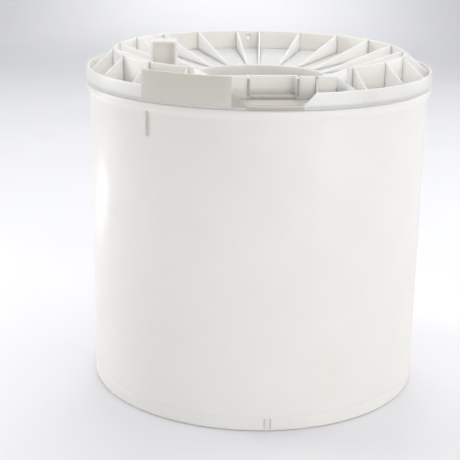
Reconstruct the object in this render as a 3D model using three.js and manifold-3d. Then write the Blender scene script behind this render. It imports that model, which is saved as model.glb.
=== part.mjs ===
// Plastic fermenting bucket with a deep, ribbed, lift-off lid.
// Millimetres, +Z up. The origin is at the centre of the foot, and the front of the lid,
// with its lifting pocket and notch, faces -Y.
import * as THREE from 'three';
import { mergeVertices } from 'three/addons/utils/BufferGeometryUtils.js';
import Module from 'manifold-3d';

const wasm = await Module();
wasm.setup();

// ---- driving dimensions -------------------------------------------------------------------
const SEGMENTS = 96; // facets round the large circles
const GAP = 0.3; // clearance between neighbouring pieces

const TUB = {
  seam: 287, // height at which the lid's flange meets the rim
  beadRadius: 160,
  topRadius: 157,
  footRadius: 155.5,
  wall: 2.5,
  floor: 3,
  footInset: 16, // width of the standing ring
  footHeight: 3,
  beadHeight: 6.5,
};

const LID = {
  plate: 2.5,
  flangeThickness: 2.2,
  flangeRadius: TUB.beadRadius - GAP,
  dishRadius: 152.5, // inner edge of the flange step
  dishRise: 11, // height of the dish's outer edge over the rim
  skirtInner: 149,
  skirtOuter: 151.5,
  skirtLip: 153.6,
  skirtDepth: 13,
  dishDrop: 8.3, // the dish falls this much from the inner ring to the well
  wellRadius: 60.5,
  wellDepth: 24,
  portRadius: 12, // hole in the well's floor
};

const RING = {
  radius: 134.2,
  thickness: 2.4,
  height: 28.8,
  frontHalfAngle: 29.5,
  holeRadius: 2,
  holeHeight: 21.5,
};
const RIM = { thickness: 2.3, height: 13.8 };
const NOTCH = { bottomHalfWidth: 22.5, topHalfWidth: 34 };
const GUARD = { from: -42.6, to: -12.8, footTo: -6, height: 27 };

const RIB = { thickness: 1.8, step: 18, first: 5, perSide: 10, apexHeight: 29.4, innerHeight: 1.8 };
const GUSSET = { outerHeight: 9 };

const GRIP = {
  wallFront: -108.2,
  wallThickness: 2.2,
  halfWidth: 57,
  height: 20,
  pocketCentre: 3,
  pocketHalfWidth: 20,
  pocketBack: -90.3,
  finHalfAngle: 28.4,
  webX: 40,
  webReach: 9,
};

// Plan of the level bay between the grip wall and the rim.
const BAY = { backHalfWidth: 57.9, frontHalfWidth: 66.5, shoulder: -118, front: -133.5 };

const TOWER = { x: -88.9, y: -22.3, width: 24.8, depth: 17, wall: 2.6, top: 39.2 };
const VALVE = {
  capRadius: 5.2,
  capHeight: 1.8,
  stemRadius: 2.4,
  holeRadius: 2.9,
  bulbRadius: 3.6,
  travel: 1.5,
};
const GROMMET = { bore: 8.5, flange: 15.5, lip: 2 };
const STOPPER = { topRadius: 12.5, headHeight: 7.5, shankLength: 12, tipRadius: 7.2 };
const LEVEL_BAR = { angle: -41.4, width: 2.5, top: 8.5, length: 21.5, proud: 0.8 };

// ---- materials ----------------------------------------------------------------------------
const milky = (name, color, roughness) =>
  new THREE.MeshStandardMaterial({ name, color, roughness, metalness: 0 });
const TUB_PLASTIC = () => milky('milky_tub_plastic', 0xeeece8, 0.38);
const LID_PLASTIC = () => milky('milky_lid_plastic', 0xe6e3dc, 0.42);
const SILICONE = () => milky('pale_silicone', 0xd9d6cf, 0.6);
const MARK_PLASTIC = () => milky('dark_mark', 0x8b8178, 0.5);

// ---- geometry helpers ---------------------------------------------------------------------
const radians = (degrees) => (degrees * Math.PI) / 180;

// Turns a closed triangle mesh into a solid for cutting and joining.
function toSolid(geometry) {
  const bare = geometry.clone();
  bare.deleteAttribute('normal');
  bare.deleteAttribute('uv');
  const merged = mergeVertices(bare, 1e-4);
  const index = merged.index.array;
  const triangles = [];
  for (let i = 0; i < index.length; i += 3) {
    const [a, b, c] = [index[i], index[i + 1], index[i + 2]];
    if (a !== b && b !== c && c !== a) triangles.push(a, b, c);
  }
  const vertProperties = new Float32Array(merged.attributes.position.array);
  const triVerts = new Uint32Array(triangles);
  return new wasm.Manifold(new wasm.Mesh({ numProp: 3, vertProperties, triVerts }));
}

function toGeometry(solid) {
  const mesh = solid.getMesh();
  const geometry = new THREE.BufferGeometry();
  geometry.setAttribute('position', new THREE.BufferAttribute(new Float32Array(mesh.vertProperties), 3));
  geometry.setIndex(new THREE.BufferAttribute(new Uint32Array(mesh.triVerts), 1));
  return geometry;
}

// Joins solids into one.
const unite = (solids) => solids.reduce((total, solid) => total.add(solid));

// A profile of [radius, height] pairs turned once about +Z. It runs outward along the
// bottom, up the outside and back along the top.
function revolve(profile, segments = SEGMENTS) {
  const points = profile.map(([radius, height]) => new THREE.Vector2(radius, height));
  return new THREE.LatheGeometry(points, segments).rotateX(Math.PI / 2);
}

// A wall that follows a circle between two angles, measured anticlockwise from +X.
function arcWall(inner, outer, from, to, bottom, top) {
  const outline = new THREE.Shape();
  outline.absarc(0, 0, outer, radians(from), radians(to), false);
  outline.absarc(0, 0, inner, radians(to), radians(from), true);
  outline.closePath();
  const curveSegments = Math.max(4, Math.round((SEGMENTS * (to - from)) / 360));
  const settings = { depth: top - bottom, bevelEnabled: false, curveSegments };
  return new THREE.ExtrudeGeometry(outline, settings).translate(0, 0, bottom);
}

// A flat plate standing on edge: the outline is drawn in radius and height, given a
// thickness, and turned to its angle about +Z.
function blade(outline, thickness, angle) {
  const shape = new THREE.Shape(outline.map(([radius, height]) => new THREE.Vector2(radius, height)));
  const plate = new THREE.ExtrudeGeometry(shape, { depth: thickness, bevelEnabled: false });
  return plate.translate(0, 0, -thickness / 2).rotateX(Math.PI / 2).rotateZ(radians(angle));
}

// An upright solid on a plan of [x, y] points.
function prism(plan, bottom, top) {
  const shape = new THREE.Shape(plan.map(([x, y]) => new THREE.Vector2(x, y)));
  const settings = { depth: top - bottom, bevelEnabled: false };
  return new THREE.ExtrudeGeometry(shape, settings).translate(0, 0, bottom);
}

// A box given by its two opposite corners.
function block(low, high) {
  const size = high.map((value, axis) => value - low[axis]);
  const centre = high.map((value, axis) => (value + low[axis]) / 2);
  return new THREE.BoxGeometry(...size).translate(...centre);
}

// Angle about +Z of a place given in degrees to the right of the front.
const fromFront = (degrees) => 270 + degrees;

// Top surface of the lid's dish, which falls from the inner ring towards the well.
const DISH_OUTER = RING.radius - RING.thickness / 2 - GAP;
function dishHeight(radius) {
  const share = (DISH_OUTER - radius) / (DISH_OUTER - LID.wellRadius);
  return TUB.seam + LID.dishRise - Math.min(1, Math.max(0, share)) * LID.dishDrop;
}

const group = new THREE.Group();
function addPart(name, geometry, material) {
  const mesh = new THREE.Mesh(geometry, material);
  mesh.name = name;
  group.add(mesh);
}

// ---- tub ----------------------------------------------------------------------------------
function tubShell() {
  const rimTop = TUB.seam - GAP;
  const beadBottom = rimTop - TUB.beadHeight;
  const footOuter = TUB.footRadius - 2;
  const footInner = footOuter - TUB.footInset;
  const floorTop = TUB.footHeight + TUB.floor;
  return revolve([
    [0, TUB.footHeight],
    [footInner - 2, TUB.footHeight],
    [footInner, 0],
    [footOuter, 0],
    [TUB.footRadius - 0.6, 0.6],
    [TUB.footRadius, 2.2],
    [TUB.topRadius, beadBottom - 1],
    [TUB.beadRadius - 0.9, beadBottom],
    [TUB.beadRadius, beadBottom + 1.5],
    [TUB.beadRadius, rimTop - 1.5],
    [TUB.beadRadius - 1.4, rimTop],
    [TUB.topRadius - TUB.wall, rimTop],
    [TUB.footRadius - TUB.wall, floorTop + 3],
    [TUB.footRadius - TUB.wall - 3, floorTop],
    [0, floorTop],
  ]);
}

function levelBar() {
  const top = TUB.seam - LEVEL_BAR.top;
  const surface = TUB.topRadius + GAP / 2;
  const low = [-LEVEL_BAR.width / 2, -surface - LEVEL_BAR.proud, top - LEVEL_BAR.length];
  const high = [LEVEL_BAR.width / 2, -surface, top];
  return block(low, high).rotateZ(radians(LEVEL_BAR.angle));
}

// ---- lid: deck, well and plug skirt ---------------------------------------------------------
const WELL_FLOOR = TUB.seam - LID.wellDepth;
const WELL_BACK = LID.wellRadius + LID.plate;
const RIB_INNER = WELL_BACK + GAP;

// Plans of the places where the deck stays level with the rim: the bay in front of the
// grip wall, and the foot of the pocket behind it.
function levelPlans() {
  const back = GRIP.wallFront + GRIP.wallThickness + GAP;
  const reach = GRIP.pocketHalfWidth + GRIP.wallThickness + GAP;
  const left = GRIP.pocketCentre - reach;
  const right = GRIP.pocketCentre + reach;
  const pocketBack = GRIP.pocketBack + GAP;
  const bay = [
    [-BAY.backHalfWidth, back],
    [-BAY.frontHalfWidth, BAY.shoulder],
    [-BAY.frontHalfWidth, BAY.front],
    [BAY.frontHalfWidth, BAY.front],
    [BAY.frontHalfWidth, BAY.shoulder],
    [BAY.backHalfWidth, back],
  ];
  const pocket = [[left, back - 1], [right, back - 1], [right, pocketBack], [left, pocketBack]];
  return [bay, pocket];
}

// The dished plate with the flange that rests on the tub's rim.
function lidDeck() {
  const seam = TUB.seam;
  const inner = WELL_BACK + GAP;
  const wallInner = DISH_OUTER - LID.plate;
  const deck = revolve([
    [inner, dishHeight(inner) - LID.plate],
    [wallInner, dishHeight(wallInner) - LID.plate],
    [wallInner, seam - LID.plate],
    [LID.skirtLip, seam - LID.plate],
    [LID.skirtLip, seam],
    [LID.flangeRadius, seam],
    [LID.flangeRadius, seam + LID.flangeThickness],
    [LID.dishRadius + 2, seam + LID.flangeThickness],
    [LID.dishRadius, seam],
    [DISH_OUTER, seam],
    [DISH_OUTER, dishHeight(DISH_OUTER)],
    [inner, dishHeight(inner)],
    [inner, dishHeight(inner) - LID.plate],
  ]);
  const plans = levelPlans();
  const air = unite(plans.map((plan) => toSolid(prism(plan, seam, seam + 40))));
  const disc = new THREE.CylinderGeometry(DISH_OUTER - 1, DISH_OUTER - 1, 20, SEGMENTS);
  disc.rotateX(Math.PI / 2).translate(0, 0, seam);
  const plates = unite(plans.map((plan) => toSolid(prism(plan, seam - LID.plate, seam))));
  const floors = plates.intersect(toSolid(disc));
  const valveHole = new THREE.CylinderGeometry(VALVE.holeRadius, VALVE.holeRadius, 20, 24);
  valveHole.rotateX(Math.PI / 2).translate(TOWER.x, TOWER.y, seam + 6);
  return toGeometry(toSolid(deck).subtract(air).add(floors).subtract(toSolid(valveHole)));
}

// The round cup in the middle, with the port in its floor.
function lidWell() {
  const brim = dishHeight(0) + RIB.innerHeight;
  return revolve([
    [LID.portRadius, WELL_FLOOR - LID.plate],
    [WELL_BACK - 2.5, WELL_FLOOR - LID.plate],
    [WELL_BACK, WELL_FLOOR],
    [WELL_BACK, brim],
    [LID.wellRadius, brim],
    [LID.wellRadius - 0.5, WELL_FLOOR],
    [LID.portRadius, WELL_FLOOR],
    [LID.portRadius, WELL_FLOOR - LID.plate],
  ], 72);
}

// The ring under the deck that plugs into the tub and carries the seal in its groove.
function plugSkirt() {
  const seam = TUB.seam;
  const top = seam - LID.plate - GAP;
  return revolve([
    [LID.skirtInner, seam - LID.skirtDepth],
    [LID.skirtLip, seam - LID.skirtDepth],
    [LID.skirtLip, seam - LID.skirtDepth + 3],
    [LID.skirtOuter, seam - LID.skirtDepth + 3.6],
    [LID.skirtOuter, seam - 4.2],
    [LID.skirtLip, seam - 3.6],
    [LID.skirtLip, top],
    [LID.skirtInner, top],
    [LID.skirtInner, seam - LID.skirtDepth],
  ]);
}

function lidSeal() {
  const middle = TUB.seam - 6.9;
  const inner = LID.skirtOuter + GAP;
  const outer = TUB.topRadius - TUB.wall - 0.4;
  const half = 2.1;
  const bulge = (outer - inner) / 2;
  return revolve([
    [inner, middle - half],
    [outer - bulge * 0.6, middle - half],
    [outer, middle - half * 0.4],
    [outer, middle + half * 0.4],
    [outer - bulge * 0.6, middle + half],
    [inner, middle + half],
    [inner, middle - half],
  ]);
}

// ---- lid: rim wall, guard and inner ring ----------------------------------------------------
// The wedge of air above the notch, wider at the top of the rim wall.
function notchCutter() {
  const bottom = TUB.seam + LID.flangeThickness;
  const slope = (NOTCH.topHalfWidth - NOTCH.bottomHalfWidth) / RIM.height;
  const below = 1;
  const above = 4;
  const low = NOTCH.bottomHalfWidth - slope * below;
  const high = NOTCH.topHalfWidth + slope * above;
  const outline = new THREE.Shape([
    new THREE.Vector2(-low, bottom - below),
    new THREE.Vector2(low, bottom - below),
    new THREE.Vector2(high, bottom + RIM.height + above),
    new THREE.Vector2(-high, bottom + RIM.height + above),
  ]);
  const wedge = new THREE.ExtrudeGeometry(outline, { depth: 60, bevelEnabled: false });
  return toSolid(wedge.rotateX(Math.PI / 2).translate(0, -120, 0));
}

function rimWall() {
  const bottom = TUB.seam + LID.flangeThickness + GAP;
  const top = TUB.seam + RIM.height;
  const outer = LID.flangeRadius;
  const gapAngle = 0.12;
  const from = fromFront(GUARD.footTo);
  const to = fromFront(360 + GUARD.from - gapAngle);
  const wall = toSolid(arcWall(outer - RIM.thickness, outer, from, to, bottom, top));
  return toGeometry(wall.subtract(notchCutter()));
}

function guardWall() {
  const bottom = TUB.seam + LID.flangeThickness + GAP;
  const outer = TUB.beadRadius;
  const inner = outer - RIM.thickness - GAP;
  const top = TUB.seam + GUARD.height;
  const tall = arcWall(inner, outer, fromFront(GUARD.from), fromFront(GUARD.to), bottom, top);
  const footStart = fromFront(GUARD.to - 2);
  const footEnd = fromFront(GUARD.footTo - 0.2);
  const foot = arcWall(inner, outer, footStart, footEnd, bottom, TUB.seam + RIM.height);
  const trimmedFoot = toSolid(foot).subtract(notchCutter());
  return toGeometry(unite([toSolid(tall), trimmedFoot]));
}

function innerRing() {
  const inner = RING.radius - RING.thickness / 2;
  const outer = RING.radius + RING.thickness / 2;
  const from = fromFront(RING.frontHalfAngle);
  const to = fromFront(360 - RING.frontHalfAngle);
  const wall = arcWall(inner, outer, from, to, TUB.seam + GAP, TUB.seam + RING.height);
  const hole = new THREE.CylinderGeometry(RING.holeRadius, RING.holeRadius, 12, 20);
  hole.translate(0, RING.radius, TUB.seam + RING.holeHeight);
  return toGeometry(toSolid(wall).subtract(toSolid(hole)));
}

// ---- lid: radial ribs and gussets ------------------------------------------------------------
// Height of a rib's sloping top edge at a radius.
function ribTop(radius) {
  const low = dishHeight(RIB_INNER) + RIB.innerHeight;
  const share = (radius - RIB_INNER) / (RING.radius - RIB_INNER);
  return low + share * (TUB.seam + RIB.apexHeight - low);
}

function rib(angle, outerRadius) {
  const outline = [
    [RIB_INNER, dishHeight(RIB_INNER) + GAP],
    [outerRadius, dishHeight(outerRadius) + GAP],
    [outerRadius, ribTop(outerRadius)],
    [RIB_INNER, ribTop(RIB_INNER)],
  ];
  return blade(outline, RIB.thickness, angle);
}

function gusset(angle) {
  const inner = RING.radius + RING.thickness / 2 + GAP;
  const step = LID.dishRadius - GAP;
  const outer = LID.flangeRadius - RIM.thickness - 2 * GAP;
  const flangeTop = TUB.seam + LID.flangeThickness + GAP;
  const outline = [
    [inner, TUB.seam + GAP],
    [step, TUB.seam + GAP],
    [LID.dishRadius + 2 - GAP, flangeTop],
    [outer, flangeTop],
    [outer, TUB.seam + GUSSET.outerHeight],
    [inner, TUB.seam + RIB.apexHeight],
  ];
  return blade(outline, RIB.thickness, angle);
}

// ---- lid: lifting grip behind the notch ------------------------------------------------------
function gripPocket() {
  const low = TUB.seam + GAP;
  const top = TUB.seam + GRIP.height;
  const left = GRIP.pocketCentre - GRIP.pocketHalfWidth;
  const right = GRIP.pocketCentre + GRIP.pocketHalfWidth;
  const wall = GRIP.wallThickness;
  const shell = block([left - wall, GRIP.wallFront, low], [right + wall, GRIP.pocketBack, top]);
  const hollow = block([left, GRIP.wallFront - 1, low + wall], [right, GRIP.pocketBack - wall, top + 1]);
  return toGeometry(toSolid(shell).subtract(toSolid(hollow)));
}

function gripWall(side) {
  const pocketEdge = GRIP.pocketHalfWidth + GRIP.wallThickness + GAP;
  const inner = pocketEdge + side * GRIP.pocketCentre;
  const back = GRIP.wallFront + GRIP.wallThickness;
  const xs = [side * inner, side * GRIP.halfWidth].sort((a, b) => a - b);
  const plate = block([xs[0], GRIP.wallFront, TUB.seam + GAP], [xs[1], back, TUB.seam + GRIP.height]);
  const reach = GRIP.wallFront - GRIP.webReach;
  const half = RIB.thickness / 2;
  const web = new THREE.Shape([
    new THREE.Vector2(reach, TUB.seam + GAP),
    new THREE.Vector2(back - 0.5, TUB.seam + GAP),
    new THREE.Vector2(back - 0.5, TUB.seam + GRIP.height),
    new THREE.Vector2(GRIP.wallFront, TUB.seam + GRIP.height),
    new THREE.Vector2(reach, TUB.seam + 3),
  ]);
  const webPlate = new THREE.ExtrudeGeometry(web, { depth: RIB.thickness, bevelEnabled: false });
  webPlate.rotateX(Math.PI / 2).rotateZ(Math.PI / 2).translate(side * GRIP.webX - half, 0, 0);
  return toGeometry(unite([toSolid(plate), toSolid(webPlate)]));
}

function gripFin(side) {
  const inner = Math.hypot(GRIP.halfWidth, GRIP.wallFront) + 2.2;
  const outer = LID.flangeRadius - RIM.thickness - 2 * GAP;
  const flangeTop = TUB.seam + LID.flangeThickness + GAP;
  const outline = [
    [inner, TUB.seam + GAP],
    [LID.dishRadius - GAP, TUB.seam + GAP],
    [LID.dishRadius + 2 - GAP, flangeTop],
    [outer, flangeTop],
    [outer, TUB.seam + GUSSET.outerHeight],
    [inner, TUB.seam + GRIP.height],
  ];
  return blade(outline, RIB.thickness, fromFront(side * GRIP.finHalfAngle));
}

// ---- lid: hooded vent tower and its valve ----------------------------------------------------
function ventTower() {
  const halfWidth = TOWER.width / 2;
  const halfDepth = TOWER.depth / 2;
  const low = TUB.seam;
  const top = TUB.seam + TOWER.top;
  const shell = block([-halfWidth, -halfDepth, low], [halfWidth, halfDepth, top]);
  const inside = halfWidth - TOWER.wall;
  const hollow = block(
    [-inside, -halfDepth - 1, low - 1],
    [inside, halfDepth - TOWER.wall, top - TOWER.wall],
  );
  const tower = toSolid(shell).subtract(toSolid(hollow)).translate(TOWER.x, TOWER.y, 0);
  const middle = dishHeight(0) + GAP;
  const edge = dishHeight(DISH_OUTER) + GAP;
  const below = revolve([
    [0, low - 5],
    [DISH_OUTER, low - 5],
    [DISH_OUTER, edge],
    [LID.wellRadius, middle],
    [0, middle],
  ]);
  return toGeometry(tower.subtract(toSolid(below)));
}

function ventValve() {
  const surface = dishHeight(Math.hypot(TOWER.x, TOWER.y));
  const slope = LID.dishDrop / (DISH_OUTER - LID.wellRadius);
  const capBottom = surface + slope * VALVE.capRadius + 0.3;
  const underside = surface - LID.plate - slope * VALVE.bulbRadius - 0.3;
  const bulbTop = underside - VALVE.travel;
  const valve = revolve([
    [0, bulbTop - 3],
    [1.4, bulbTop - 3],
    [VALVE.bulbRadius, bulbTop - 0.8],
    [VALVE.bulbRadius, bulbTop],
    [VALVE.stemRadius, bulbTop],
    [VALVE.stemRadius, capBottom],
    [VALVE.capRadius, capBottom],
    [VALVE.capRadius, capBottom + 0.5],
    [VALVE.capRadius - 2, capBottom + VALVE.capHeight],
    [0, capBottom + VALVE.capHeight],
  ], 24);
  return valve.translate(TOWER.x, TOWER.y, 0);
}

// ---- lid: grommet and stopper in the well ------------------------------------------------------
function wellGrommet() {
  const plateTop = WELL_FLOOR;
  const plateBottom = plateTop - LID.plate;
  const waist = LID.portRadius - GAP;
  return revolve([
    [GROMMET.bore, plateBottom - GAP - GROMMET.lip],
    [GROMMET.flange - 1, plateBottom - GAP - GROMMET.lip],
    [GROMMET.flange, plateBottom - GAP],
    [waist, plateBottom - GAP],
    [waist, plateTop + GAP],
    [GROMMET.flange, plateTop + GAP],
    [GROMMET.flange - 0.8, plateTop + GAP + GROMMET.lip],
    [GROMMET.bore, plateTop + GAP + GROMMET.lip],
    [GROMMET.bore, plateBottom - GAP - GROMMET.lip],
  ], 40);
}

function wellStopper() {
  const seat = WELL_FLOOR + 2 * GAP + GROMMET.lip;
  const shank = GROMMET.bore - GAP;
  const head = STOPPER.topRadius;
  return revolve([
    [0, seat - STOPPER.shankLength],
    [STOPPER.tipRadius - 1, seat - STOPPER.shankLength],
    [STOPPER.tipRadius, seat - STOPPER.shankLength + 1],
    [shank, seat],
    [head - 0.8, seat],
    [head, seat + 0.8],
    [head - 0.6, seat + 2.4],
    [head - 4, seat + 3.4],
    [head - 4.6, seat + STOPPER.headHeight - 1],
    [head - 5.4, seat + STOPPER.headHeight],
    [0, seat + STOPPER.headHeight],
  ], 40);
}

// ---- assembly -------------------------------------------------------------------------------
addPart('tub_shell', tubShell(), TUB_PLASTIC());
addPart('level_bar', levelBar(), MARK_PLASTIC());
addPart('lid_deck', lidDeck(), LID_PLASTIC());
addPart('lid_well', lidWell(), LID_PLASTIC());
addPart('lid_plug_skirt', plugSkirt(), LID_PLASTIC());
addPart('lid_seal', lidSeal(), SILICONE());
addPart('lid_rim_wall', rimWall(), LID_PLASTIC());
addPart('lid_guard', guardWall(), LID_PLASTIC());
addPart('lid_inner_ring', innerRing(), LID_PLASTIC());

// The ribs fan out in mirror pairs from the rear of the lid. The last pair stops at the
// lifting pocket; all the others reach the inner ring and go on outside it as gussets.
const twoDigits = (number) => String(number).padStart(2, '0');
for (let pair = 0; pair < RIB.perSide; pair += 1) {
  const offset = RIB.first + pair * RIB.step;
  const isShort = pair === RIB.perSide - 1;
  const behindPocket = (-GRIP.pocketBack - 1) / Math.cos(radians(180 - offset)) - 1;
  for (const [turn, suffix] of [[1, 'l'], [-1, 'r']]) {
    const name = `${twoDigits(pair + 1)}_${suffix}`;
    const angle = 90 + turn * offset;
    addPart(`lid_rib_${name}`, rib(angle, isShort ? behindPocket : DISH_OUTER), LID_PLASTIC());
    if (!isShort) addPart(`lid_gusset_${name}`, gusset(angle), LID_PLASTIC());
  }
}

addPart('grip_pocket', gripPocket(), LID_PLASTIC());
for (const [side, suffix] of [[-1, 'l'], [1, 'r']]) {
  addPart(`grip_wall_${suffix}`, gripWall(side), LID_PLASTIC());
  addPart(`grip_fin_${suffix}`, gripFin(side), LID_PLASTIC());
}
addPart('vent_tower', ventTower(), LID_PLASTIC());
addPart('vent_valve', ventValve(), SILICONE());
addPart('well_grommet', wellGrommet(), SILICONE());
addPart('well_stopper', wellStopper(), SILICONE());

export default group;
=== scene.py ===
# Detailed look of a plastic fermenting bucket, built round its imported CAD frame.
# +Z up, front of the lid towards -Y. Shapes are given in millimetres, and the camera and
# the lights in metres.
import math

import bmesh
import bpy
from mathutils import Matrix, Vector


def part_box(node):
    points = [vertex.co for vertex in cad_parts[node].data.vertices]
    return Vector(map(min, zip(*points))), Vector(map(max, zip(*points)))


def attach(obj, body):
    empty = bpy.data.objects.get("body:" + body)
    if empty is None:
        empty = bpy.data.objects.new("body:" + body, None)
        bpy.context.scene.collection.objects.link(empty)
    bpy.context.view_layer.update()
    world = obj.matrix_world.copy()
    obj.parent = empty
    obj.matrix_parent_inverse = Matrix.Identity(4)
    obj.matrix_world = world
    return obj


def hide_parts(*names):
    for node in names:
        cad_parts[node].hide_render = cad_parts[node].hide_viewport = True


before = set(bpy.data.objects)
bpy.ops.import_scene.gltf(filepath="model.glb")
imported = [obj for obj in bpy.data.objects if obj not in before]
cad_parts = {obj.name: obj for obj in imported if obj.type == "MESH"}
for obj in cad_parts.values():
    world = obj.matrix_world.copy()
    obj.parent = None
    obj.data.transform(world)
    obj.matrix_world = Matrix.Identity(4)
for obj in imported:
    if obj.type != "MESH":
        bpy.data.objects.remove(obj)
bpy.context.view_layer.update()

MM = 0.001
GAP = 0.3  # clearance between neighbouring CAD nodes
SINK = 0.4  # how deep a rib or wall stands in the surface below it, so no gap shows
TURN = 2 * math.pi

# ---- sizes, in millimetres ------------------------------------------------------------------
def box_mm(node):
    """The lowest and highest corner of a frame node's box."""
    low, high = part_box(node)
    return low / MM, high / MM


TUB_HIGH = box_mm("tub_shell")[1]
RIM_RADIUS = TUB_HIGH.x
SEAM = TUB_HIGH.z + GAP
RIM_WALL_TOP = box_mm("lid_rim_wall")[1].z
GUARD_TOP = box_mm("lid_guard")[1].z
RING_TOP = box_mm("lid_inner_ring")[1].z
RIB_TOP = box_mm("lid_gusset_01_l")[1].z
POCKET_LOW, POCKET_HIGH = box_mm("grip_pocket")
TOWER_LOW, TOWER_HIGH = box_mm("vent_tower")
VALVE_LOW, VALVE_HIGH = box_mm("vent_valve")
WELL_LOW, WELL_HIGH = box_mm("lid_well")
GROMMET_LOW, GROMMET_HIGH = box_mm("well_grommet")
STOPPER_LOW, STOPPER_HIGH = box_mm("well_stopper")
SEAL_LOW, SEAL_HIGH = box_mm("lid_seal")

FLANGE_TOP = SEAM + 2.2
FLANGE_RADIUS = RIM_RADIUS - GAP
STEP_RADIUS = 152.5
RING_RADIUS = 134.2
RING_HOLE_RADIUS, RING_HOLE_HEIGHT = 2, 21.5
RING_HALF = 1.2
RING_FRONT = 28.7  # degrees either side of the front where the ring is open
DISH_OUTER = RING_RADIUS - RING_HALF - GAP
DISH_RISE, DISH_DROP = 11, 8.3
RIM_WALL_THICKNESS = 2.3
PLATE = 2.5
SKIRT_INNER, SKIRT_OUTER, SKIRT_LIP, SKIRT_DEPTH = 149, 151.5, 153.6, 13
PORT_RADIUS = 12
WELL_RADIUS = 60.5
WELL_BACK = WELL_RADIUS + PLATE
WELL_BRIM = WELL_HIGH.z
NOTCH_BOTTOM = 8.2  # degrees either side of the front
NOTCH_TOP = 12.4
NOTCH_FLOOR = FLANGE_TOP + 0.3
GUARD_FROM, GUARD_TO = -42.6, -12.8
RIB_FIRST, RIB_STEP, RIB_PAIRS = 5, 18, 10
FIN_ANGLE = 28.4
GUSSET_END = 9  # height of a gusset's outer end over the seam
GRIP_HALF_WIDTH = 57
GRIP_WEB_X = 40
GRIP_THICKNESS = 2.2
POCKET_DROP = 2  # the pocket's top stays this far under the grip wall's
BAY_BACK_HALF, BAY_FRONT_HALF, BAY_SHOULDER, BAY_FRONT = 57.0, 64.6, -119.4, -134
TOWER_THICKNESS = 2.6
VALVE_HOLE_RADIUS = 2.9
LEVEL_BAR_ANGLE = -41.4
FOOT_MARKS = (-2.0, 3.2)  # where the two foot marks stand, right of the front


def dish(radius):
    """Height of the lid's dished top at a radius."""
    share = (DISH_OUTER - radius) / (DISH_OUTER - WELL_RADIUS)
    return SEAM + DISH_RISE - DISH_DROP * min(1, max(0, share))


# ---- mesh helpers ---------------------------------------------------------------------------
def new_piece(name, bm, smooth_below=38):
    """Makes an object from a bmesh in millimetres, shaded smooth where faces meet gently."""
    bmesh.ops.recalc_face_normals(bm, faces=bm.faces)
    bmesh.ops.scale(bm, vec=(MM, MM, MM), verts=bm.verts)
    mesh = bpy.data.meshes.new(name)
    bm.to_mesh(mesh)
    bm.free()
    mesh.polygons.foreach_set("use_smooth", [True] * len(mesh.polygons))
    mesh.set_sharp_from_angle(angle=math.radians(smooth_below))
    piece = bpy.data.objects.new(name, mesh)
    bpy.context.scene.collection.objects.link(piece)
    return piece


def settle(piece):
    """Applies a piece's modifiers to its mesh."""
    graph = bpy.context.evaluated_depsgraph_get()
    mesh = bpy.data.meshes.new_from_object(piece.evaluated_get(graph))
    piece.modifiers.clear()
    piece.data = mesh


def soften(piece, width, segments=2):
    """Rounds a piece's sharp edges."""
    bevel = piece.modifiers.new("soften", "BEVEL")
    bevel.width = width * MM
    bevel.segments = segments
    bevel.limit_method = "ANGLE"
    bevel.angle_limit = math.radians(40)
    bevel.use_clamp_overlap = True
    settle(piece)


def cut(piece, *cutters):
    """Takes the cutters' shapes out of a piece, and removes the cutters."""
    for cutter in cutters:
        boolean = piece.modifiers.new("cut", "BOOLEAN")
        boolean.operation = "DIFFERENCE"
        boolean.solver = "EXACT"
        boolean.object = cutter
        settle(piece)
        bpy.data.objects.remove(cutter)


def rounded(outline, steps=4):
    """Replaces each corner (x, y, size) of a closed outline by a short curve."""
    points = []
    count = len(outline)
    for i, (x, y, size) in enumerate(outline):
        corner = Vector((x, y))
        if size <= 0:
            points.append(corner)
            continue
        before = Vector(outline[i - 1][:2]) - corner
        after = Vector(outline[(i + 1) % count][:2]) - corner
        start = corner + before.normalized() * min(size, before.length * 0.48)
        end = corner + after.normalized() * min(size, after.length * 0.48)
        for step in range(steps + 1):
            t = step / steps
            points.append(start * (1 - t) ** 2 + corner * 2 * t * (1 - t) + end * t**2)
    return points


def lathe(name, outline, segments=192, steps=4):
    """Turns a closed (radius, height, corner size) outline once about +Z."""
    points = rounded(outline, steps)
    bm = bmesh.new()
    rings = []
    for radius, height in points:
        if radius < 1e-6:
            rings.append([bm.verts.new((0, 0, height))])
            continue
        angles = [TURN * i / segments for i in range(segments)]
        places = [(radius * math.cos(a), radius * math.sin(a), height) for a in angles]
        rings.append([bm.verts.new(place_at) for place_at in places])
    for i, ring in enumerate(rings):
        join_rings(bm, rings[i - 1], ring)
    return new_piece(name, bm)


def join_rings(bm, first, second):
    """Faces between two rings of vertices; a ring of one vertex is a pole."""
    if len(first) == 1 and len(second) == 1:
        return
    count = max(len(first), len(second))
    for i in range(count):
        j = (i + 1) % count
        if len(first) == 1:
            bm.faces.new((first[0], second[i], second[j]))
        elif len(second) == 1:
            bm.faces.new((first[i], first[j], second[0]))
        else:
            bm.faces.new((first[i], first[j], second[j], second[i]))


def loft(name, sections):
    """Skins a row of closed sections, each with the same number of points, and caps both ends."""
    bm = bmesh.new()
    rings = [[bm.verts.new(point) for point in section] for section in sections]
    for first, second in zip(rings, rings[1:]):
        join_rings(bm, first, second)
    bm.faces.new(rings[0])
    bm.faces.new(rings[-1])
    return new_piece(name, bm)


def wall_section(inner, outer, low, high, tip=0.7):
    """Section (offset, height) of a standing wall whose top edge is rounded."""
    tip = min(tip, (outer - inner) * 0.45, (high - low) * 0.45)
    return [
        (inner, low),
        (outer, low),
        (outer, high - tip),
        (outer - tip * 0.3, high - tip * 0.3),
        (outer - tip, high),
        (inner + tip, high),
        (inner + tip * 0.3, high - tip * 0.3),
        (inner, high - tip),
    ]


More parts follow.
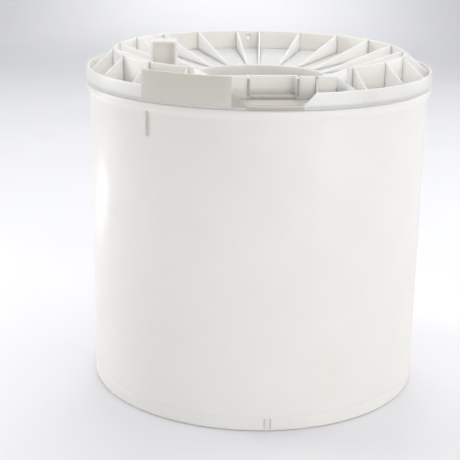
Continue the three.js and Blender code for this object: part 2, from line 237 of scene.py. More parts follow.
def arc_wall(name, inner, outer, stations, tip=0.7, step=1.5):
    """A wall along a circle. Stations are (degrees about +Z, low, high) in rising order."""
    sections = []
    for (start, low_a, high_a), (end, low_b, high_b) in zip(stations, stations[1:]):
        count = max(1, round((end - start) / step))
        for i in range(count):
            t = i / count
            degrees = start + (end - start) * t
            sections.append((degrees, low_a + (low_b - low_a) * t, high_a + (high_b - high_a) * t))
    sections.append(stations[-1])
    rows = []
    for degrees, low, high in sections:
        c, s = math.cos(math.radians(degrees)), math.sin(math.radians(degrees))
        rows.append([(r * c, r * s, z) for r, z in wall_section(inner, outer, low, high, tip)])
    return loft(name, rows)


def blade_section(low, high, root_half, tip_half, flare):
    """Section (offset, height) of a rib: a small flare at its root, draft, and a rounded top."""
    height = high - low
    foot = min(1.0, height * 0.3)
    crown = min(0.5, height * 0.2)
    side = [
        (root_half + flare, low - SINK),
        (root_half + flare, low + foot * 0.1),
        (root_half + flare * 0.35, low + foot * 0.4),
        (root_half, low + foot),
        (tip_half, high - crown),
        (tip_half * 0.7, high - crown * 0.3),
        (tip_half * 0.25, high),
    ]
    return side + [(-x, z) for x, z in reversed(side)]


def blade(name, stations, degrees, root_half=1.05, tip_half=0.8, flare=0.45):
    """A moulded rib on edge, radial at an angle about +Z. Stations are (radius, low, high)."""
    c, s = math.cos(math.radians(degrees)), math.sin(math.radians(degrees))
    rows = []
    for radius, low, high in stations:
        section = blade_section(low, high, root_half, tip_half, flare)
        rows.append([(radius * c - x * s, radius * s + x * c, z) for x, z in section])
    return loft(name, rows)


def slab(name, low, high, taper=0.0):
    """A box between two corners; its top is smaller by taper on each side."""
    bm = bmesh.new()
    levels = []
    for z, inset in ((low[2], 0.0), (high[2], taper)):
        x0, x1 = low[0] + inset, high[0] - inset
        y0, y1 = low[1] + inset, high[1] - inset
        levels.append([bm.verts.new(p) for p in ((x0, y0, z), (x1, y0, z), (x1, y1, z), (x0, y1, z))])
    join_rings(bm, *levels)
    bm.faces.new(levels[0])
    bm.faces.new(levels[1])
    return new_piece(name, bm)


def from_front(degrees):
    """Angle about +Z of a place given in degrees to the right of the front."""
    return 270 + degrees


def join(name, pieces):
    """Makes one object of several pieces that touch."""
    bm = bmesh.new()
    for piece in pieces:
        bm.from_mesh(piece.data)
        bpy.data.objects.remove(piece)
    bmesh.ops.scale(bm, vec=(1 / MM,) * 3, verts=bm.verts)
    return new_piece(name, bm)


# ---- materials ------------------------------------------------------------------------------
class Nodes:
    """A material's node tree round one Principled shader, with short calls to add to it."""

    def __init__(self, name):
        self.material = bpy.data.materials.new(name)
        self.material.use_nodes = True
        self.tree = self.material.node_tree
        self.shader = self.tree.nodes["Principled BSDF"]
        self.place = self.tree.nodes.new("ShaderNodeTexCoord").outputs["Object"]

    def link(self, source, target):
        self.tree.links.new(source, target)

    def noise(self, scale, detail=4.0, roughness=0.55, stretch=None):
        """Soft noise over the object's own coordinates, stretched along an axis if asked."""
        node = self.tree.nodes.new("ShaderNodeTexNoise")
        node.inputs["Scale"].default_value = scale
        node.inputs["Detail"].default_value = detail
        node.inputs["Roughness"].default_value = roughness
        place = self.place
        if stretch:
            mapping = self.tree.nodes.new("ShaderNodeMapping")
            mapping.inputs["Scale"].default_value = stretch
            self.link(self.place, mapping.inputs["Vector"])
            place = mapping.outputs["Vector"]
        self.link(place, node.inputs["Vector"])
        return node.outputs["Fac"]

    def spread(self, source, low, high, to_low=0.0, to_high=1.0):
        """Maps a value from one range to another, clamped."""
        node = self.tree.nodes.new("ShaderNodeMapRange")
        sockets = ("From Min", "From Max", "To Min", "To Max")
        for socket, value in zip(sockets, (low, high, to_low, to_high)):
            node.inputs[socket].default_value = value
        self.link(source, node.inputs["Value"])
        return node.outputs["Result"]

    def math(self, operation, first, second):
        """One sum on two values, each a socket or a number."""
        node = self.tree.nodes.new("ShaderNodeMath")
        node.operation = operation
        for socket, value in zip(node.inputs, (first, second)):
            if isinstance(value, (int, float)):
                socket.default_value = value
            else:
                self.link(value, socket)
        return node.outputs[0]

    def mix(self, share, first, second):
        """Mixes two colours, each a socket or an RGB triple."""
        node = self.tree.nodes.new("ShaderNodeMix")
        node.data_type = "RGBA"
        self.link(share, node.inputs["Factor"])
        for socket, value in ((node.inputs[6], first), (node.inputs[7], second)):
            if isinstance(value, tuple):
                socket.default_value = (*value, 1)
            else:
                self.link(value, socket)
        return node.outputs[2]

    def edges(self, low, high):
        """1 on convex edges, 0 on flat faces."""
        node = self.tree.nodes.new("ShaderNodeNewGeometry")
        return self.spread(node.outputs["Pointiness"], low, high)

    def bump(self, source, distance, strength=1.0, below=None):
        """Relief from a height, laid over another relief if one is given."""
        node = self.tree.nodes.new("ShaderNodeBump")
        node.inputs["Strength"].default_value = strength
        node.inputs["Distance"].default_value = distance
        self.link(source, node.inputs["Height"])
        if below is not None:
            self.link(below, node.inputs["Normal"])
        return node.outputs["Normal"]

    def finish(self, colour, roughness, normal):
        """Joins the three results to the shader and gives the finished material."""
        self.link(colour, self.shader.inputs["Base Color"])
        self.link(roughness, self.shader.inputs["Roughness"])
        self.link(normal, self.shader.inputs["Normal"])
        return self.material

    def constants(self, **values):
        """Sets shader inputs by name, with _ for each space."""
        for socket, value in values.items():
            self.shader.inputs[socket.replace("_", " ")].default_value = value


def milky_plastic(name, pale, deep, roughness, cloud_scale, subsurface, depth=0.003):
    """Translucent polypropylene: soft clouds, orange peel, fine scratches, and a painted highlight
    that makes convex edges paler.
    """
    nodes = Nodes(name)
    clouds = nodes.spread(nodes.noise(cloud_scale, detail=3), 0.35, 0.68)
    flow = nodes.spread(nodes.noise(26, detail=4, stretch=(1, 1, 0.12)), 0.4, 0.75, 0, 0.35)
    body = nodes.mix(nodes.math("MAXIMUM", clouds, flow), pale, deep)
    # Paler convex edges: a painted highlight along edges that catch the light.
    colour = nodes.mix(nodes.edges(0.52, 0.62), body, tuple(min(1, c * 1.06) for c in pale))
    scratches = nodes.spread(nodes.noise(420, detail=2, stretch=(1, 1, 0.05)), 0.62, 0.8, 0, 0.12)
    mottle = nodes.spread(nodes.noise(35), 0.3, 0.75, roughness - 0.05, roughness + 0.07)
    rough = nodes.math("ADD", mottle, scratches)
    peel = nodes.bump(nodes.noise(900, detail=2), 0.00004, 0.5)
    normal = nodes.bump(nodes.noise(14, detail=1), 0.0007, 0.5, below=peel)
    nodes.constants(
        IOR=1.49,
        Subsurface_Weight=subsurface,
        Subsurface_Radius=(1.0, 0.9, 0.78),
        Subsurface_Scale=depth,
    )
    return nodes.finish(colour, rough, normal)


def silicone(name, pale, deep):
    """Matte rubber, paler on its convex edges as a painted highlight."""
    nodes = Nodes(name)
    colour = nodes.mix(nodes.spread(nodes.noise(60), 0.35, 0.7), pale, deep)
    # Paler convex edges: a painted highlight.
    colour = nodes.mix(nodes.edges(0.5, 0.62), colour, tuple(c * 1.08 for c in pale))
    rough = nodes.spread(nodes.noise(180), 0.3, 0.7, 0.5, 0.68)
    nodes.constants(
        IOR=1.42,
        Subsurface_Weight=0.25,
        Subsurface_Radius=(1.0, 0.8, 0.6),
        Subsurface_Scale=0.003,
    )
    return nodes.finish(colour, rough, nodes.bump(nodes.noise(700), 0.00005, 0.6))


def mark_plastic(name, pale, deep):
    """The greyish level mark, with worn patches."""
    nodes = Nodes(name)
    colour = nodes.mix(nodes.spread(nodes.noise(400), 0.38, 0.66), pale, deep)
    rough = nodes.spread(nodes.noise(500), 0.3, 0.7, 0.4, 0.6)
    return nodes.finish(colour, rough, nodes.bump(nodes.noise(1200), 0.00004, 0.6))


def studio_paper(name):
    """Seamless white paper with a faint tooth."""
    nodes = Nodes(name)
    colour = nodes.mix(nodes.spread(nodes.noise(3), 0.3, 0.7), (0.91, 0.91, 0.925), (0.88, 0.88, 0.90))
    rough = nodes.spread(nodes.noise(60), 0.3, 0.7, 0.7, 0.85)
    return nodes.finish(colour, rough, nodes.bump(nodes.noise(900), 0.00003, 0.4))


TUB_PLASTIC = milky_plastic(
    "tub_plastic_look",
    pale=(0.95, 0.925, 0.88),
    deep=(0.905, 0.872, 0.82),
    roughness=0.35,
    cloud_scale=7,
    subsurface=0.3,
)
# A paler copy of the lid plastic, painted light: the thin fins, ribs and tower of the lid let the most
# light through.
LIT_LID_PLASTIC = milky_plastic(
    "lit_lid_plastic_look",
    pale=(0.90, 0.888, 0.858),
    deep=(0.85, 0.835, 0.795),
    roughness=0.38,
    cloud_scale=11,
    subsurface=0.9,
    depth=0.008,
)
# A darker copy of the lid plastic, painted shade: deck, rim wall, ring, grip walls and pocket.
SHADED_DECK_PLASTIC = milky_plastic(
    "shaded_deck_plastic_look",
    pale=(0.82, 0.808, 0.775),
    deep=(0.75, 0.735, 0.69),
    roughness=0.38,
    cloud_scale=9,
    subsurface=0.75,
    depth=0.005,
)
# A darker copy of the lid plastic, painted shade on the guard, which stands in front of the light; the
# foot marks take it too.
DARK_SHADE_PLASTIC = milky_plastic(
    "dark_shade_plastic_look",
    pale=(0.70, 0.678, 0.61),
    deep=(0.625, 0.60, 0.52),
    roughness=0.42,
    cloud_scale=14,
    subsurface=0.25,
)
# The darkest copy, painted shade on the shaded parts of the notch and of the pocket behind it.
DEEP_SHADE_PLASTIC = milky_plastic(
    "deep_shade_plastic_look",
    pale=(0.53, 0.505, 0.45),
    deep=(0.46, 0.435, 0.38),
    roughness=0.45,
    cloud_scale=14,
    subsurface=0.2,
)
SILICONE = silicone("silicone_look", (0.80, 0.785, 0.75), (0.73, 0.71, 0.67))
MARK = mark_plastic("mark_look", (0.70, 0.665, 0.61), (0.60, 0.565, 0.51))

LOOKS = {
    "tub_plastic": TUB_PLASTIC,
    "lid_plastic": LIT_LID_PLASTIC,
    "shaded_deck_plastic": SHADED_DECK_PLASTIC,
    "dark_shade_plastic": DARK_SHADE_PLASTIC,
    "deep_shade_plastic": DEEP_SHADE_PLASTIC,
    "silicone": SILICONE,
    "mark_plastic": MARK,
}


def place(piece, body, slot, *nodes, look=None):
    """Gives a piece its look and its body, and lets it stand for its CAD nodes."""
    piece.data.materials.clear()
    piece.data.materials.append(LOOKS[look or slot])
    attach(piece, body)
    if nodes:
        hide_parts(*nodes)


# ---- tub ------------------------------------------------------------------------------------
def tub_outline():
    """Foot ring with a fine groove above it, straight wall, rolled rim bead, and the hollow."""
    foot, top = 155.5, 157.0
    rim = SEAM - GAP
    return [
        (0, 3, 0),
        (135.5, 3, 1.2),
        (137.5, 0, 1.2),
        (153.6, 0, 1.6),
        (foot, 2.4, 1.6),
        (foot + 0.1, 13.0, 0.2),
        (foot - 0.3, 13.6, 0.3),
        (foot + 0.1, 14.4, 0.2),
        (top, rim - 8.6, 1.5),
        (RIM_RADIUS - 0.9, rim - 6.6, 1.0),
        (RIM_RADIUS, rim - 5.0, 1.2),
        (RIM_RADIUS, rim - 1.6, 1.4),
        (RIM_RADIUS - 1.6, rim, 1.2),
        (top - 2.5, rim, 0.8),
        (foot - 2.5, 9, 3),
        (foot - 5.5, 6, 3),
        (0, 6, 0),
    ]


def build_tub():
    """The tub in one lathed piece, and the two short bars moulded at its foot."""
    tub = lathe("tub_moulded", tub_outline(), segments=256)
    place(tub, "tub", "tub_plastic", "tub_shell")
    half_width, outer, inner, low, high = 0.75, 156.4, 155.2, 3.4, 12.6
    for i, x in enumerate(FOOT_MARKS):
        corners = (x - half_width, -outer, low), (x + half_width, -inner, high)
        mark = slab(f"foot_mark_{i + 1}", *corners)
        soften(mark, 0.3)
        place(mark, "tub", "tub_plastic", look="dark_shade_plastic")


def build_level_bar():
    """The upright bar below the rim bead, made at the front and turned to its place."""
    low, high = box_mm("level_bar")
    half_width, outer, inner = 1.25, 157.95, 156.9
    bar = slab("level_bar_moulded", (-half_width, -outer, low.z), (half_width, -inner, high.z))
    soften(bar, 0.35)
    bar.data.transform(Matrix.Rotation(math.radians(LEVEL_BAR_ANGLE), 4, "Z"))
    place(bar, "tub", "mark_plastic", "level_bar")


# ---- lid ------------------------------------------------------------------------------------
def lid_outline():
    """Plug skirt with its seal groove, flange, dished deck and the well, as one moulding."""
    s = SEAM
    well_floor = WELL_LOW.z + PLATE
    return [
        (SKIRT_INNER, s - SKIRT_DEPTH, 0.6),
        (SKIRT_LIP, s - SKIRT_DEPTH, 0.8),
        (SKIRT_LIP, s - 10, 0.3),
        (SKIRT_OUTER, s - 9.4, 0.3),
        (SKIRT_OUTER, s - 4.2, 0.3),
        (SKIRT_LIP, s - 3.6, 0.3),
        (SKIRT_LIP, s, 0.2),
        (FLANGE_RADIUS, s, 0.5),
        (FLANGE_RADIUS, FLANGE_TOP, 0.7),
        (STEP_RADIUS + 2, FLANGE_TOP, 0.8),
        (STEP_RADIUS, s, 1.0),
        (DISH_OUTER + 0.6, s, 0.8),
        (DISH_OUTER + 0.6, dish(DISH_OUTER), 0.2),
        (DISH_OUTER - 0.4, dish(DISH_OUTER), 0.2),
        (WELL_BACK, dish(WELL_BACK), 0.6),
        (WELL_BACK, WELL_BRIM, 0.8),
        (WELL_RADIUS, WELL_BRIM, 0.9),
        (WELL_RADIUS - 0.6, well_floor, 2.2),
        (PORT_RADIUS, well_floor, 0.5),
        (PORT_RADIUS, well_floor - PLATE, 0.5),
        (WELL_RADIUS, well_floor - PLATE, 2.5),
        (WELL_BACK, well_floor, 2.0),
        (WELL_BACK, dish(WELL_BACK) - PLATE, 1.2),
        (DISH_OUTER - PLATE, dish(DISH_OUTER) - PLATE, 1.0),
        (DISH_OUTER - PLATE, s - PLATE, 0.6),
        (SKIRT_INNER, s - PLATE, 1.0),
    ]


def level_plans():
    """Plans of the level bay in front of the grip wall, and of the pocket's place behind it."""
    back = box_mm("grip_wall_l")[1].y
    right_half = [
        (BAY_FRONT_HALF, BAY_FRONT),
        (BAY_FRONT_HALF, BAY_SHOULDER),
        (BAY_BACK_HALF, back),
    ]
    bay = [(-x, y) for x, y in reversed(right_half)] + right_half
    left, right = POCKET_LOW.x + 1, POCKET_HIGH.x - 1
    behind = POCKET_HIGH.y - 1
    pocket = [(left, back - 1), (right, back - 1), (right, behind), (left, behind)]
    return bay, pocket


def prism(name, plan, low, high):
    """An upright solid on a plan of (x, y) points."""
    bm = bmesh.new()
    rings = [[bm.verts.new((x, y, z)) for x, y in plan] for z in (low, high)]
    join_rings(bm, *rings)
    for ring in rings:
        bm.faces.new(ring)
    return new_piece(name, bm)


def peg(name, radius, depth, segments, centre, lying=False):
    """A round cutter, upright or lying along the Y axis."""
    bm = bmesh.new()
    bmesh.ops.create_cone(
        bm, cap_ends=True, segments=segments, radius1=radius, radius2=radius, depth=depth
    )
    if lying:
        quarter = Matrix.Rotation(math.pi / 2, 3, "X")
        bmesh.ops.rotate(bm, cent=(0, 0, 0), matrix=quarter, verts=bm.verts)
    bmesh.ops.translate(bm, vec=centre, verts=bm.verts)
    return new_piece(name, bm)


def build_lid_moulding():
    """Deck, well and plug skirt in one lathed piece, with level floors round the pocket in painted
    shade.
    """
    lid = lathe("lid_moulding", lid_outline(), segments=256)
    centre = (VALVE_LOW + VALVE_HIGH) / 2
    bay, pocket = level_plans()
    air_top = SEAM + 40
    cut(
        lid,
        peg("valve_hole", VALVE_HOLE_RADIUS, 14, 32, (centre.x, centre.y, SEAM + 6)),
        prism("bay_air", bay, SEAM, air_top),
        prism("pocket_air", pocket, SEAM, air_top),
    )
    place(lid, "lid", "lid_plastic", "lid_deck", "lid_well", "lid_plug_skirt", look="shaded_deck_plastic")
    for name, plan in (("bay_floor", bay), ("pocket_floor", pocket)):
        floor = prism(name, plan, SEAM - 2.3, SEAM - 0.05)
        place(floor, "lid", "lid_plastic", look="deep_shade_plastic")


def build_rim_wall():
    """The low outer wall, from one side of the notch round the back to the guard."""
    outer = FLANGE_RADIUS
    inner = outer - RIM_WALL_THICKNESS
    low, top = FLANGE_TOP - SINK, RIM_WALL_TOP
    stations = [
        (from_front(NOTCH_BOTTOM), low, NOTCH_FLOOR),
        (from_front(NOTCH_TOP), low, top),
        (from_front(360 + GUARD_FROM), low, top),
    ]
    wall = arc_wall("lid_rim_wall_moulded", inner, outer, stations)
    place(wall, "lid", "lid_plastic", "lid_rim_wall", look="shaded_deck_plastic")


def build_notch_floor():
    """The shaded sill at the bottom of the notch and the level apron behind it, both dark pieces of
    painted shade.
    """
    sill_span = front_span(NOTCH_BOTTOM + 0.3, SEAM + 0.1, NOTCH_FLOOR)
    apron_span = front_span(NOTCH_TOP + 10, SEAM - 0.5, SEAM + 0.12)
    sill = arc_wall("notch_sill", STEP_RADIUS + 1, FLANGE_RADIUS + 0.1, sill_span, tip=0.3)
    apron = arc_wall("notch_apron", DISH_OUTER + 0.4, STEP_RADIUS - 0.2, apron_span, tip=0.1)
    for piece in (sill, apron):
        place(piece, "lid", "lid_plastic", look="deep_shade_plastic")


def front_span(half, low, high):
    """Stations of a level arc that reaches the same way to both sides of the front."""
    return [(from_front(-half), low, high), (from_front(half), low, high)]


def build_guard():
    """The tall curved wall in painted shade, and the cheek that slopes down from it into the notch in
    darker painted shade.
    """
    outer = RIM_RADIUS
    inner = outer - RIM_WALL_THICKNESS - GAP
    low = FLANGE_TOP - SINK
    tall = [(from_front(GUARD_FROM), low, GUARD_TOP), (from_front(GUARD_TO), low, GUARD_TOP)]
    guard = arc_wall("lid_guard_moulded", inner, outer, tall)
    place(guard, "lid", "lid_plastic", "lid_guard", look="dark_shade_plastic")
    slope = [(tall[1][0], low, RIM_WALL_TOP), (from_front(-NOTCH_BOTTOM), low, NOTCH_FLOOR)]
    cheek = arc_wall("notch_cheek", inner, outer, slope)
    place(cheek, "lid", "lid_plastic", look="deep_shade_plastic")


def build_inner_ring():
    """The tall ring wall, open at the front, with its small hole at the back."""
    low = SEAM - SINK
    stations = [(from_front(a), low, RING_TOP) for a in (RING_FRONT, 360 - RING_FRONT)]
    ring = arc_wall("lid_ring_moulded", RING_RADIUS - RING_HALF, RING_RADIUS + RING_HALF, stations)
    hole_centre = (0, RING_RADIUS, SEAM + RING_HOLE_HEIGHT)
    cut(ring, peg("ring_hole", RING_HOLE_RADIUS, 12, 28, hole_centre, lying=True))
    place(ring, "lid", "lid_plastic", "lid_inner_ring", look="shaded_deck_plastic")


def rib_height(radius):
    """Height of a rib's sloping top edge at a radius."""
    share = (radius - WELL_BACK) / (RING_RADIUS - WELL_BACK)
    return WELL_BRIM + share * (RIB_TOP - WELL_BRIM)


def build_ribs():
    """Ribs in mirrored pairs, each with a gusset outside the ring but for the last pair."""
    inner = WELL_BACK - SINK
    pocket_back = -POCKET_HIGH.y
    for pair in range(RIB_PAIRS):
        offset = RIB_FIRST + pair * RIB_STEP
        short = pair == RIB_PAIRS - 1
        outer = RING_RADIUS - RING_HALF + SINK
        if short:
            outer = (pocket_back + SINK) / math.cos(math.radians(180 - offset))
        radii = [inner, inner + 12, (inner + outer) / 2, outer]
        stations = [(r, dish(r), rib_height(r)) for r in radii]
        for turn, suffix in ((1, "l"), (-1, "r")):
            tag = f"{pair + 1:02d}_{suffix}"
            degrees = 90 + turn * offset
            rib = blade(f"rib_{tag}_moulded", stations, degrees)
            place(rib, "lid", "lid_plastic", f"lid_rib_{tag}")
            if not short:
                place(gusset(tag, degrees), "lid", "lid_plastic", f"lid_gusset_{tag}")


def gusset(tag, degrees):
    """The fin that goes on outside the ring where a rib meets it."""
    stations = gusset_stations(RING_RADIUS + RING_HALF - SINK, RIB_TOP)
    return blade(f"gusset_{tag}_moulded", stations, degrees)


def gusset_stations(inner, top):
    """A fin from a wall down and out to the rim wall, over the flange's step."""
    outer = FLANGE_RADIUS - RIM_WALL_THICKNESS + SINK
    end = SEAM + GUSSET_END

    def high(radius):
        """Height of the fin's sloping top edge at a radius."""
        return top + (radius - inner) / (outer - inner) * (end - top)

    return [
        (inner, SEAM, high(inner)),
        (STEP_RADIUS, SEAM, high(STEP_RADIUS)),
        (STEP_RADIUS + 2, FLANGE_TOP, high(STEP_RADIUS + 2)),
        (outer, FLANGE_TOP, high(outer)),
    ]


# ---- lid: lifting grip ------------------------------------------------------------------------
def build_pocket():
    """The finger pocket: open to the front and the top."""
    low, high = POCKET_LOW.copy(), POCKET_HIGH.copy()
    low.z -= GAP + SINK
    high.z -= POCKET_DROP
    shell = slab("grip_pocket_moulded", low, high)
    wall = GRIP_THICKNESS
    hollow = slab(
        "pocket_hollow",
        (low.x + wall, low.y - 2, SEAM + wall),
        (high.x - wall, high.y - wall, high.z + 2),
        taper=-0.6,
    )
    cut(shell, hollow)
    soften(shell, 0.5, 3)
    place(shell, "lid", "lid_plastic", "grip_pocket", look="shaded_deck_plastic")
    build_pocket_trim(low, high, wall)


def build_pocket_trim(low, high, wall):
    """Dark slabs of painted shade: the floor of the pocket and the front edges of its two sides."""
    front = low.y - 0.15
    floor_top = SEAM + wall + 0.3
    trims = [
        slab(
            "grip_pocket_base",
            (low.x + wall + 0.1, front, SEAM + 0.2),
            (high.x - wall - 0.1, high.y - wall - 0.1, floor_top),
        )
    ]
    for suffix, x in (("l", low.x), ("r", high.x - wall)):
        trims.append(
            slab(
                f"grip_pocket_edge_{suffix}",
                (x + 0.2, front, floor_top),
                (x + wall + 0.1, low.y + 1, high.z - 0.6),
            )
        )
    for trim in trims:
        soften(trim, 0.2)
        place(trim, "lid", "lid_plastic", look="deep_shade_plastic")


def build_grip_wall(side, suffix):
    """The straight wall on one side of the pocket, with its web."""
    low, high = box_mm(f"grip_wall_{suffix}")
    back = high.y
    front = POCKET_LOW.y
    inner = POCKET_HIGH.x if side > 0 else -POCKET_LOW.x
    x0, x1 = sorted((side * (inner - SINK), side * GRIP_HALF_WIDTH))
    plate = slab(f"grip_plate_{suffix}", (x0, front, SEAM - SINK), (x1, back, high.z))
    soften(plate, 0.5, 3)
    web = web_plate(f"grip_web_{suffix}", side * GRIP_WEB_X, low.y, front + 0.6, high.z)
    wall = join(f"grip_wall_{suffix}_moulded", [plate, web])
    place(wall, "lid", "lid_plastic", f"grip_wall_{suffix}", look="shaded_deck_plastic")


def web_plate(name, x, reach, back, top):
    """A small triangular web in front of the grip wall."""
    rows = []
    for y, high in ((reach, SEAM + 3), (back, top - 0.4)):
        rows.append([(x + dx, y, z) for dx, z in blade_section(SEAM, high, 1.0, 0.8, 0.4)])
    return loft(name, rows)


def build_grip_fin(side, suffix):
    """The sloping fin at the end of a grip wall."""
    inner = math.hypot(GRIP_HALF_WIDTH, POCKET_LOW.y) - 0.6
    stations = gusset_stations(inner, POCKET_HIGH.z)
    fin = blade(f"grip_fin_{suffix}_moulded", stations, from_front(side * FIN_ANGLE))
    place(fin, "lid", "lid_plastic", f"grip_fin_{suffix}")


# ---- lid: tower, valve, grommet and stopper ---------------------------------------------------
def build_tower():
    """The hollow hood over the valve, open to the front and below."""
    low, high = TOWER_LOW.copy(), TOWER_HIGH.copy()
    wall = TOWER_THICKNESS
    low.z -= GAP + SINK
    shell = slab("vent_tower_moulded", low, high, taper=0.3)
    hollow = slab(
        "tower_hollow",
        (low.x + wall, low.y - 2, low.z - 1),
        (high.x - wall, high.y - wall, high.z - wall),
        taper=0.5,
    )
    cut(shell, hollow)
    soften(shell, 0.7, 3)
    place(shell, "lid", "lid_plastic", "vent_tower")


def build_valve():
    """Soft mushroom valve: cap above the deck, bulb below it."""
    centre = (VALVE_LOW + VALVE_HIGH) / 2
    low, high = VALVE_LOW.z, VALVE_HIGH.z
    outline = [
        (0, low, 0),
        (1.4, low, 0.5),
        (3.5, low + 2.2, 0.6),
        (3.5, low + 3, 0.3),
        (2.4, low + 3.1, 0.2),
        (2.4, high - 1.8, 0.2),
        (5.2, high - 1.8, 0.2),
        (5.2, high - 1.3, 0.3),
        (3.6, high - 0.2, 1.2),
        (2.2, high, 0.4),
        (0, high - 0.1, 0),
    ]
    valve = lathe("vent_valve_moulded", outline, segments=48)
    valve.data.transform(Matrix.Translation((centre.x * MM, centre.y * MM, 0)))
    place(valve, "valve", "silicone", "vent_valve")


def build_grommet():
    """Soft ring that grips the edge of the well's port between two lips."""
    low, high = GROMMET_LOW.z, GROMMET_HIGH.z
    bore, waist, outer = 8.5, 11.7, GROMMET_HIGH.x
    outline = [
        (bore, low, 0.6),
        (outer - 1, low, 0.6),
        (outer, low + 2, 0.8),
        (waist, low + 2.05, 0.2),
        (waist, high - 2.05, 0.2),
        (outer, high - 2, 0.8),
        (outer - 0.8, high, 0.7),
        (bore, high, 0.6),
    ]
    place(lathe("well_grommet_moulded", outline, segments=96), "lid", "silicone", "well_grommet")


def build_stopper():
    """Tapered shank, a flange that rests on the grommet, and a finger knob."""
    low, high = STOPPER_LOW.z, STOPPER_HIGH.z
    seat = low + 12
    head = STOPPER_HIGH.x
    outline = [
        (0, low + 0.3, 0),
        (6.0, low, 0.7),
        (7.2, low + 1.2, 0.6),
        (7.9, seat - 3, 0.3),
        (8.15, seat, 0.2),
        (head - 0.8, seat, 0.4),
        (head, seat + 0.9, 0.6),
        (head - 0.6, seat + 2.4, 0.6),
        (head - 4, seat + 3.2, 1.4),
        (head - 4.9, seat + 5.0, 0.8),
        (head - 4.4, high - 1.4, 0.6),
        (head - 5.3, high, 0.8),
        (3.5, high, 0.8),
        (2.6, high - 0.9, 0.6),
        (0, high - 1.0, 0),
    ]
    place(lathe("well_stopper_moulded", outline, segments=96), "stopper", "silicone", "well_stopper")


def build_seal():
    """Soft ring in the groove of the plug skirt."""
    low, high = SEAL_LOW.z, SEAL_HIGH.z
    inner, outer = SKIRT_OUTER + GAP, SEAL_HIGH.x
    outline = [
        (inner, low, 0.3),
        (outer - 1.0, low, 0.6),
        (outer, low + 1.3, 0.7),
        (outer, high - 1.3, 0.7),
        (outer - 1.0, high, 0.6),
        (inner, high, 0.3),
    ]
    place(lathe("lid_seal_moulded", outline), "lid", "silicone", "lid_seal")


# ---- studio -----------------------------------------------------------------------------------
def build_backdrop():
    """Floor that sweeps up into a wall far behind, in millimetres."""
    half_width, front, bend_start, bend, top = 9000, -6000, 2200, 1500, 7000
    steps = 12
    path = [(front, 0), (bend_start, 0)]
    for i in range(1, steps + 1):
        a = i / steps * math.pi / 2
        path.append((bend_start + bend * math.sin(a), bend - bend * math.cos(a)))
    path.append((bend_start + bend, top))
    bm = bmesh.new()
    rows = [[bm.verts.new((x, y, z)) for x in (-half_width, half_width)] for y, z in path]
    for (a, b), (c, d) in zip(rows, rows[1:]):
        bm.faces.new((a, b, d, c))
    sweep = new_piece("studio_sweep", bm)
    sweep.data.materials.append(studio_paper("studio_paper"))


def area_light(name, place_at, aim_at, size, watts):
    """A soft box at a place in metres, turned towards a point."""
    light = bpy.data.lights.new(name, "AREA")
    light.shape = "RECTANGLE"
    light.size, light.size_y = size
    light.energy = watts
    aim_lamp(name, light, place_at, aim_at)


def aim_lamp(name, light, place_at, aim_at):
    """Puts a light in the scene, unseen by the camera, and turns it towards a point."""
    lamp = bpy.data.objects.new(name, light)
    bpy.context.scene.collection.objects.link(lamp)
    lamp.visible_camera = False
    lamp.location = place_at
    lamp.rotation_mode = "QUATERNION"
    lamp.rotation_quaternion = (Vector(aim_at) - Vector(place_at)).to_track_quat("-Z", "Y")


def spot_light(name, place_at, aim_at, degrees, watts):
    """A soft-edged spot at a place in metres, turned towards a point."""
    light = bpy.data.lights.new(name, "SPOT")
    light.spot_size = math.radians(degrees)
    light.spot_blend = 1.0
    light.shadow_soft_size = 0.4
    light.energy = watts
    aim_lamp(name, light, place_at, aim_at)


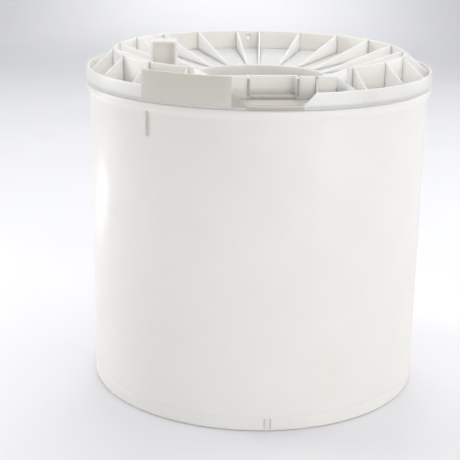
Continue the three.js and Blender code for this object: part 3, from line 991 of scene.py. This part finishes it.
def build_lights():
    """Pale surroundings, soft boxes all round and a glow on the backdrop."""
    world = bpy.data.worlds.new("studio_world")
    world.use_nodes = True
    background = world.node_tree.nodes["Background"]
    background.inputs["Color"].default_value = (0.96, 0.97, 1.0, 1)
    background.inputs["Strength"].default_value = 0.45
    bpy.context.scene.world = world
    # The two low glints give the soft highlights on the tub's left edge and under its rim.
    area_light("overhead", (0.1, 0.05, 1.7), (0, 0, 0.2), (1.6, 1.2), 11)
    area_light("rear_key", (0.1, 1.9, 1.9), (0, 0, 0.25), (1.4, 0.8), 11)
    area_light("right_rear", (1.5, 0.8, 0.7), (0, 0, 0.3), (0.9, 0.8), 6)
    area_light("left_rear", (-1.5, 0.5, 0.6), (0, 0, 0.3), (0.8, 0.8), 8.5)
    area_light("front_fill", (0.9, -2.2, 0.8), (0, 0, 0.05), (1.8, 1.2), 13)
    area_light("left_glint", (-0.52, 0.36, 0.03), (-0.14, -0.06, 0.15), (0.06, 0.04), 0.15)
    area_light("right_glint", (0.80, -0.87, 0.04), (0.06, -0.14, 0.25), (0.12, 0.10), 0.8)
    spot_light("backdrop_glow", (0.3, 1.8, 2.4), (0.15, 2.8, 0.1), 36, 125)


def build_camera():
    """A long lens a little above the rim, a few degrees to the left of the lid's front."""
    pitch, roll, turn = math.radians(16.3), math.radians(0.88), math.radians(-3.8)
    place_in_rim_radii = Vector((-0.154, -6.990, 2.914))
    spin = Matrix.Rotation(turn, 4, "Z")
    place_at = Matrix.Translation(place_in_rim_radii * (RIM_RADIUS * MM))
    tilt = Matrix.Rotation(math.pi / 2 - pitch, 4, "X") @ Matrix.Rotation(roll, 4, "Z")
    data = bpy.data.cameras.new("studio_camera")
    data.lens = 93.91
    data.sensor_width = 36
    data.clip_start = 0.05
    data.clip_end = 50
    camera = bpy.data.objects.new("studio_camera", data)
    bpy.context.scene.collection.objects.link(camera)
    camera.matrix_world = spin @ place_at @ tilt
    bpy.context.scene.camera = camera


# ---- assembly -----------------------------------------------------------------------------------
build_tub()
build_level_bar()
build_lid_moulding()
build_rim_wall()
build_notch_floor()
build_guard()
build_inner_ring()
build_ribs()
build_pocket()
for wall_side, wall_suffix in ((-1, "l"), (1, "r")):
    build_grip_wall(wall_side, wall_suffix)
    build_grip_fin(wall_side, wall_suffix)
build_tower()
build_valve()
build_grommet()
build_stopper()
build_seal()
build_backdrop()
build_lights()
build_camera()

view = bpy.context.scene.view_settings
view.view_transform = "Standard"
view.look = "None"
